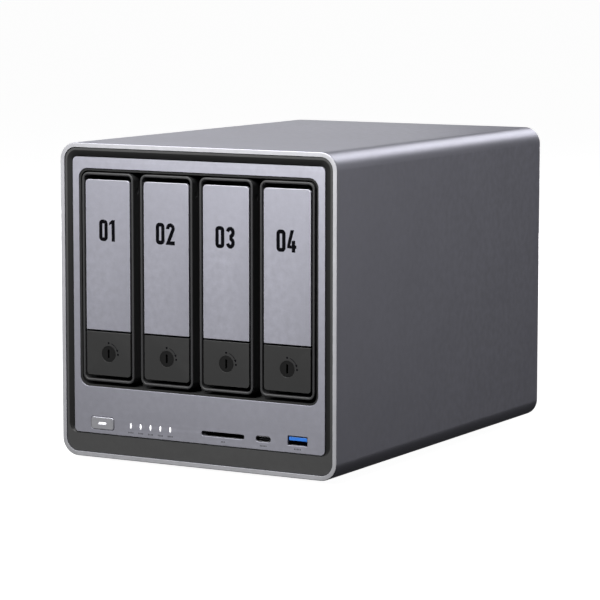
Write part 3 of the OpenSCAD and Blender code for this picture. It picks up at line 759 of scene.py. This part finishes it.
def build_lock_marks(n):
    """Two dots and the turn arrow between them, printed round the lock."""
    ring_r = 6.2
    dot_r = 0.6
    line_w = 0.3
    low, high = box(f"tray_{n}_lock")
    pad_low, _ = box(f"tray_{n}_latch")
    x = (low.x + high.x) / 2
    z = low.z + LOCK_MIDDLE
    dots = [oval(x, z + ring_r, dot_r, dot_r), oval(x + ring_r, z, dot_r, dot_r)]
    sweep = ribbon(arc(x, z, ring_r, ring_r, 74, 26, 12), line_w)
    corners = [(ring_r - 0.05, 1.3), (ring_r - 1.3, 2.35), (ring_r + 0.2, 3.0)]
    tip = [(x + px, z + pz) for px, pz in corners]
    parts = [film("mark", [shape], pad_low.y) for shape in [*dots, sweep, tip]]
    place(joined(f"tray_{n}_lock_marks", parts), f"tray_{n}_catch", "lock_plastic", black_ink)


for n in range(1, BAYS + 1):
    build_number(n)
    build_lock_marks(n)


# ---- Fan wheel and dust net --------------------------------------------

BLADES = 7
BLADE_ROWS = 9
BLADE_POINTS = 9
BLADE_REACH = 0.92
BLADE_TILT = 38
BLADE_TWIST = 18
BLADE_SWEEP = -22
BLADE_CAMBER = 1.6
BLADE_SWELL = 0.9
BLADE_EDGE = 0.15
HUB_RADIUS = 22
HUB_EDGE = 0.6
SHAFT_BORE = 2.05


def blade(turn, centre, depth, tip_r):
    """A curved fan blade that twists from its root to its tip."""
    root_r = HUB_RADIUS - 1
    farthest = depth / 2 - 0.1
    middle = (BLADE_POINTS - 1) / 2
    loops = []
    for i in range(BLADE_ROWS):
        part = i / (BLADE_ROWS - 1)
        r = root_r + part * (tip_r - root_r)
        tilt = math.radians(BLADE_TILT + BLADE_TWIST * part)
        half_chord = BLADE_REACH * depth / 2 / math.cos(tilt)
        around = turn + math.radians(BLADE_SWEEP * part * part)
        loop = []
        for side in (1, -1):
            for j in range(BLADE_POINTS):
                along = (j - middle) / middle * side
                full = 1 - along * along
                off_chord = side * (BLADE_SWELL * full + BLADE_EDGE) + BLADE_CAMBER * full
                y = along * half_chord * math.cos(tilt) + off_chord * math.sin(tilt)
                span = along * half_chord * math.sin(tilt) - off_chord * math.cos(tilt)
                angle = around + span / r
                y = max(min(y, farthest), -farthest)
                loop.append(centre + Vector((r * math.sin(angle), y, r * math.cos(angle))))
        loops.append(loop)
    return skin("blade", loops)


def build_fan_wheel():
    low, high = box("fan_rotor")
    centre = (low + high) / 2
    depth = high.y - low.y
    tip_r = (high.x - low.x) / 2
    profile = [
        (SHAFT_BORE, low.y + 5),
        (SHAFT_BORE, high.y),
        (HUB_RADIUS - HUB_EDGE, high.y),
        (HUB_RADIUS, high.y - HUB_EDGE),
        (HUB_RADIUS, low.y + 2),
        (HUB_RADIUS - HUB_EDGE, low.y + HUB_EDGE),
        (HUB_RADIUS - 2, low.y),
        (14, low.y),
        (13.6, low.y + 0.3),
    ]
    hub = skin("hub", [circle(centre.x, centre.z, r, y) for r, y in profile])
    blades = [blade(2 * math.pi * i / BLADES, centre, depth - 2, tip_r) for i in range(BLADES)]
    place(joined("fan_wheel", [hub, *blades]), "fan_wheel", "fan_plastic", fan_plastic,
          stands_for=["fan_rotor"])


def build_dust_net():
    """Crossed strands, cut off along the net's round-cornered outline."""
    low, high = box("filter_mesh")
    corner = 17.9
    strand = 0.45
    step = 1.9
    play = 0.05
    y = (low.y + high.y) / 2
    thick = (high.y - low.y) / 2
    width, height = high.x - low.x, high.z - low.z
    centre = (low + high) / 2
    parts = []
    for upright in (True, False):
        across, reach = (width, height) if upright else (height, width)
        layer = y - thick / 2 if upright else y + thick / 2
        count = int(across / step)
        for i in range(count):
            offset = (i - (count - 1) / 2) * step
            past = max(abs(offset) + strand / 2 - (across / 2 - corner), 0)
            half = reach / 2 - corner + math.sqrt(corner ** 2 - past ** 2) - play
            sides = arc(offset, layer, strand / 2, thick / 2, 0, 300, 5)
            loops = []
            for end in (-half, half):
                spots = [(a, b, end) if upright else (end, b, a) for a, b in sides]
                loops.append([Vector((centre.x + px, py, centre.z + pz)) for px, py, pz in spots])
            parts.append(skin("strand", loops))
    place(joined("dust_net", parts), "dust_filter", "filter_net", filter_net,
          stands_for=["filter_mesh"])


build_fan_wheel()
build_dust_net()


# ---- Camera, lights and floor ------------------------------------------

VIEW_AZIMUTH = 29.627
VIEW_ELEVATION = 7.020
VIEW_ROLL = 0.038
VIEW_DISTANCE = 1639.1
VIEW_ASIDE = (-5.915, -8.854)
LENS = 166.47


def build_camera():
    az = math.radians(VIEW_AZIMUTH)
    el = math.radians(VIEW_ELEVATION)
    back = Vector((math.sin(az) * math.cos(el), -math.cos(az) * math.cos(el), math.sin(el)))
    right = Vector((0, 0, 1)).cross(back).normalized()
    up = back.cross(right)
    turn = Matrix.Rotation(math.radians(VIEW_ROLL), 3, back)
    right = turn @ right
    up = turn @ up
    centre = (shell_low + shell_high) / 2
    place_at = centre + VIEW_ASIDE[0] * right + VIEW_ASIDE[1] * up + VIEW_DISTANCE * back
    camera = bpy.data.objects.new("camera", bpy.data.cameras.new("camera"))
    bpy.context.scene.collection.objects.link(camera)
    axes = Matrix((right, up, back)).transposed().to_4x4()
    camera.matrix_world = Matrix.Translation(place_at * MM) @ axes
    camera.data.lens = LENS
    camera.data.clip_start = 0.05
    camera.data.clip_end = 200
    bpy.context.scene.camera = camera


def lamp(name, spot, target, width, height, power):
    """Soft rectangular light, placed and aimed in metres."""
    light = bpy.data.lights.new(name, "AREA")
    light.shape = "RECTANGLE"
    light.size = width
    light.size_y = height
    light.energy = power
    obj = bpy.data.objects.new(name, light)
    bpy.context.scene.collection.objects.link(obj)
    obj.location = spot
    obj.rotation_mode = "QUATERNION"
    obj.rotation_quaternion = (Vector(target) - Vector(spot)).to_track_quat("-Z", "Y")
    obj.visible_camera = False


def build_world():
    """Dim all round as a light, white where the camera sees it directly."""
    world = bpy.data.worlds.new("studio")
    bpy.context.scene.world = world
    world.use_nodes = True
    tree = world.node_tree
    seen = add(tree, "LightPath").outputs["Is Camera Ray"]
    strength = add(tree, "MapRange", {"Value": seen, "To Min": 0.03, "To Max": 1.0}).outputs["Result"]
    tree.links.new(strength, tree.nodes["Background"].inputs["Strength"])
    tree.nodes["Background"].inputs["Color"].default_value = (1, 1, 1, 1)


def build_floor():
    bm = bmesh.new()
    bmesh.ops.create_grid(bm, x_segments=1, y_segments=1, size=60)
    floor = mesh_object("floor", bm)
    material = bpy.data.materials.new("floor")
    material.use_nodes = True
    shader = material.node_tree.nodes["Principled BSDF"]
    shader.inputs["Base Color"].default_value = (0.2, 0.2, 0.2, 1)
    shader.inputs["Roughness"].default_value = 0.9
    shader.inputs["Emission Color"].default_value = (1, 1, 1, 1)
    shader.inputs["Emission Strength"].default_value = 0.97
    floor.data.materials.append(material)
    floor.visible_diffuse = False
    floor.visible_glossy = False


build_camera()
build_world()
build_floor()
lamp("key", (-0.5, -0.9, 0.9), (0, -0.13, 0.12), 0.6, 0.6, 13.5)
lamp("front_top", (0, -0.5, 0.55), (0, -0.13, 0.12), 0.3, 0.3, 5.5)
lamp("edge_light", (0.3, 1.8, 1.2), (0, 0, 0.15), 1.2, 0.6, 9)
lamp("top_sheen", (-1.0, 1.25, 0.39), (0, 0, 0.15), 0.9, 0.55, 2.25)
lamp("rear_fill", (-0.46, 1.2, 0.09), (-0.46, 0.13, 0.09), 1.0, 0.16, 7)
lamp("side_fill", (1.6, 0.9, 0.3), (0, 0, 0.1), 1.0, 1.0, 3.3)
bpy.context.scene.view_settings.view_transform = "Standard"
